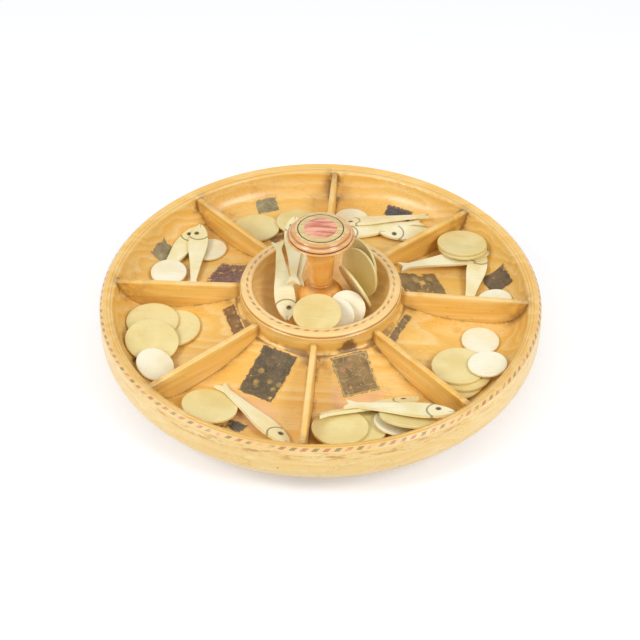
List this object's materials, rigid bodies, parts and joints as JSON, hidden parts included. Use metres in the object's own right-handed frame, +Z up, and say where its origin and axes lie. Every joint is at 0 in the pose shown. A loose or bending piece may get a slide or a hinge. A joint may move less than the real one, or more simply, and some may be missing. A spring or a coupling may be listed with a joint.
{
  "type": "pope joan board",
  "caption": "Round revolving pope joan board with walled pockets round a bowl, an inlaid knob on a pillar, and loose bone counters and fish.",
  "frame": {"origin": "middle of the foot's underside, on the table", "axes": "+Z up along the pillar, -Y towards the viewer, where one divider points straight forward"},
  "size_m": [0.28, 0.28, 0.09],
  "materials": {
    "banding": "varnished made-up strip of dyed veneers",
    "bone": "polished bone",
    "boxwood": "varnished",
    "brass": "dull",
    "dark_inlay": "varnished ebonised veneer",
    "knob_wood": "varnished",
    "leather": "greased",
    "pale_inlay": "varnished sycamore veneer",
    "paper": "printed paper, worn",
    "pear_wood": "varnished",
    "red_inlay": "varnished striped veneer",
    "steel": "dull"
  },
  "bodies": {
    "foot": {"turned_foot": "boxwood", "bearing_washer": "leather"},
    "tray_unit": {"tray": "boxwood", "rim_banding": "banding", "hub_collar": "boxwood", "bowl": "boxwood", "bowl_banding": "banding", "divider_1": "boxwood", "divider_2": "boxwood", "divider_3": "boxwood", "divider_4": "boxwood", "divider_5": "boxwood", "divider_6": "boxwood", "divider_7": "boxwood", "divider_8": "boxwood", "pillar": "pear_wood", "knob": "knob_wood", "knob_edge_line": "dark_inlay", "knob_centre_disc": "red_inlay", "knob_pale_ring": "pale_inlay", "knob_dark_ring": "dark_inlay", "knob_buff_ring": "pale_inlay", "hub_label_1": "paper", "hub_label_2": "paper", "hub_label_3": "paper", "hub_label_4": "paper", "hub_label_6": "paper", "hub_label_7": "paper", "hub_label_8": "paper", "rim_label_1": "paper", "rim_label_4": "paper", "rim_label_5": "paper", "rim_label_6": "paper", "rim_label_7": "paper", "rim_label_8": "paper", "retaining_washer": "brass", "retaining_screw": "steel"},
    "pocket_1_counters": {"large_counters_1": "bone", "fish_1": "bone"},
    "pocket_2_counters": {"large_counters_2": "bone", "small_counters_2": "bone", "fish_2": "bone"},
    "pocket_3_counters": {"small_counters_3": "bone", "large_counters_3": "bone"},
    "pocket_4_counters": {"fish_4": "bone", "large_counters_4": "bone", "small_counters_4": "bone"},
    "pocket_5_counters": {"small_counters_5": "bone", "fish_5": "bone"},
    "pocket_6_counters": {"large_counters_6": "bone"},
    "pocket_7_counters": {"small_counters_7": "bone", "fish_7": "bone"},
    "pocket_8_counters": {"large_counters_8": "bone", "small_counters_8": "bone"},
    "bowl_fish": {"fish_bowl": "bone"},
    "bowl_counters": {"large_counters_bowl": "bone", "small_counters_bowl": "bone", "medium_counter_bowl": "bone", "broken_tail_bowl": "bone"}
  },
  "joints": [
    {"name": "tray_spin", "type": "hinge", "parent": "foot", "child": "tray_unit", "pos_m": [0, 0, 0.011], "axis": [0, 0, 1], "continuous": true},
    {"name": "lift_pocket_1", "type": "slide", "parent": "tray_unit", "child": "pocket_1_counters", "axis": [0, 0, 1], "range_m": [0, 0.04]},
    {"name": "lift_pocket_2", "type": "slide", "parent": "tray_unit", "child": "pocket_2_counters", "axis": [0, 0, 1], "range_m": [0, 0.04]},
    {"name": "lift_pocket_3", "type": "slide", "parent": "tray_unit", "child": "pocket_3_counters", "axis": [0, 0, 1], "range_m": [0, 0.04]},
    {"name": "lift_pocket_4", "type": "slide", "parent": "tray_unit", "child": "pocket_4_counters", "axis": [0, 0, 1], "range_m": [0, 0.04]},
    {"name": "lift_pocket_5", "type": "slide", "parent": "tray_unit", "child": "pocket_5_counters", "axis": [0, 0, 1], "range_m": [0, 0.04]},
    {"name": "lift_pocket_6", "type": "slide", "parent": "tray_unit", "child": "pocket_6_counters", "axis": [0, 0, 1], "range_m": [0, 0.04]},
    {"name": "lift_pocket_7", "type": "slide", "parent": "tray_unit", "child": "pocket_7_counters", "axis": [0, 0, 1], "range_m": [0, 0.04]},
    {"name": "lift_pocket_8", "type": "slide", "parent": "tray_unit", "child": "pocket_8_counters", "axis": [0, 0, 1], "range_m": [0, 0.04]},
    {"name": "lift_bowl_fish", "type": "slide", "parent": "tray_unit", "child": "bowl_fish", "axis": [-0.6, 0, 0.8], "range_m": [0, 0.04]},
    {"name": "lift_bowl_counters", "type": "slide", "parent": "tray_unit", "child": "bowl_counters", "axis": [0.28, 0, 0.96], "range_m": [0, 0.03]}
  ]
}
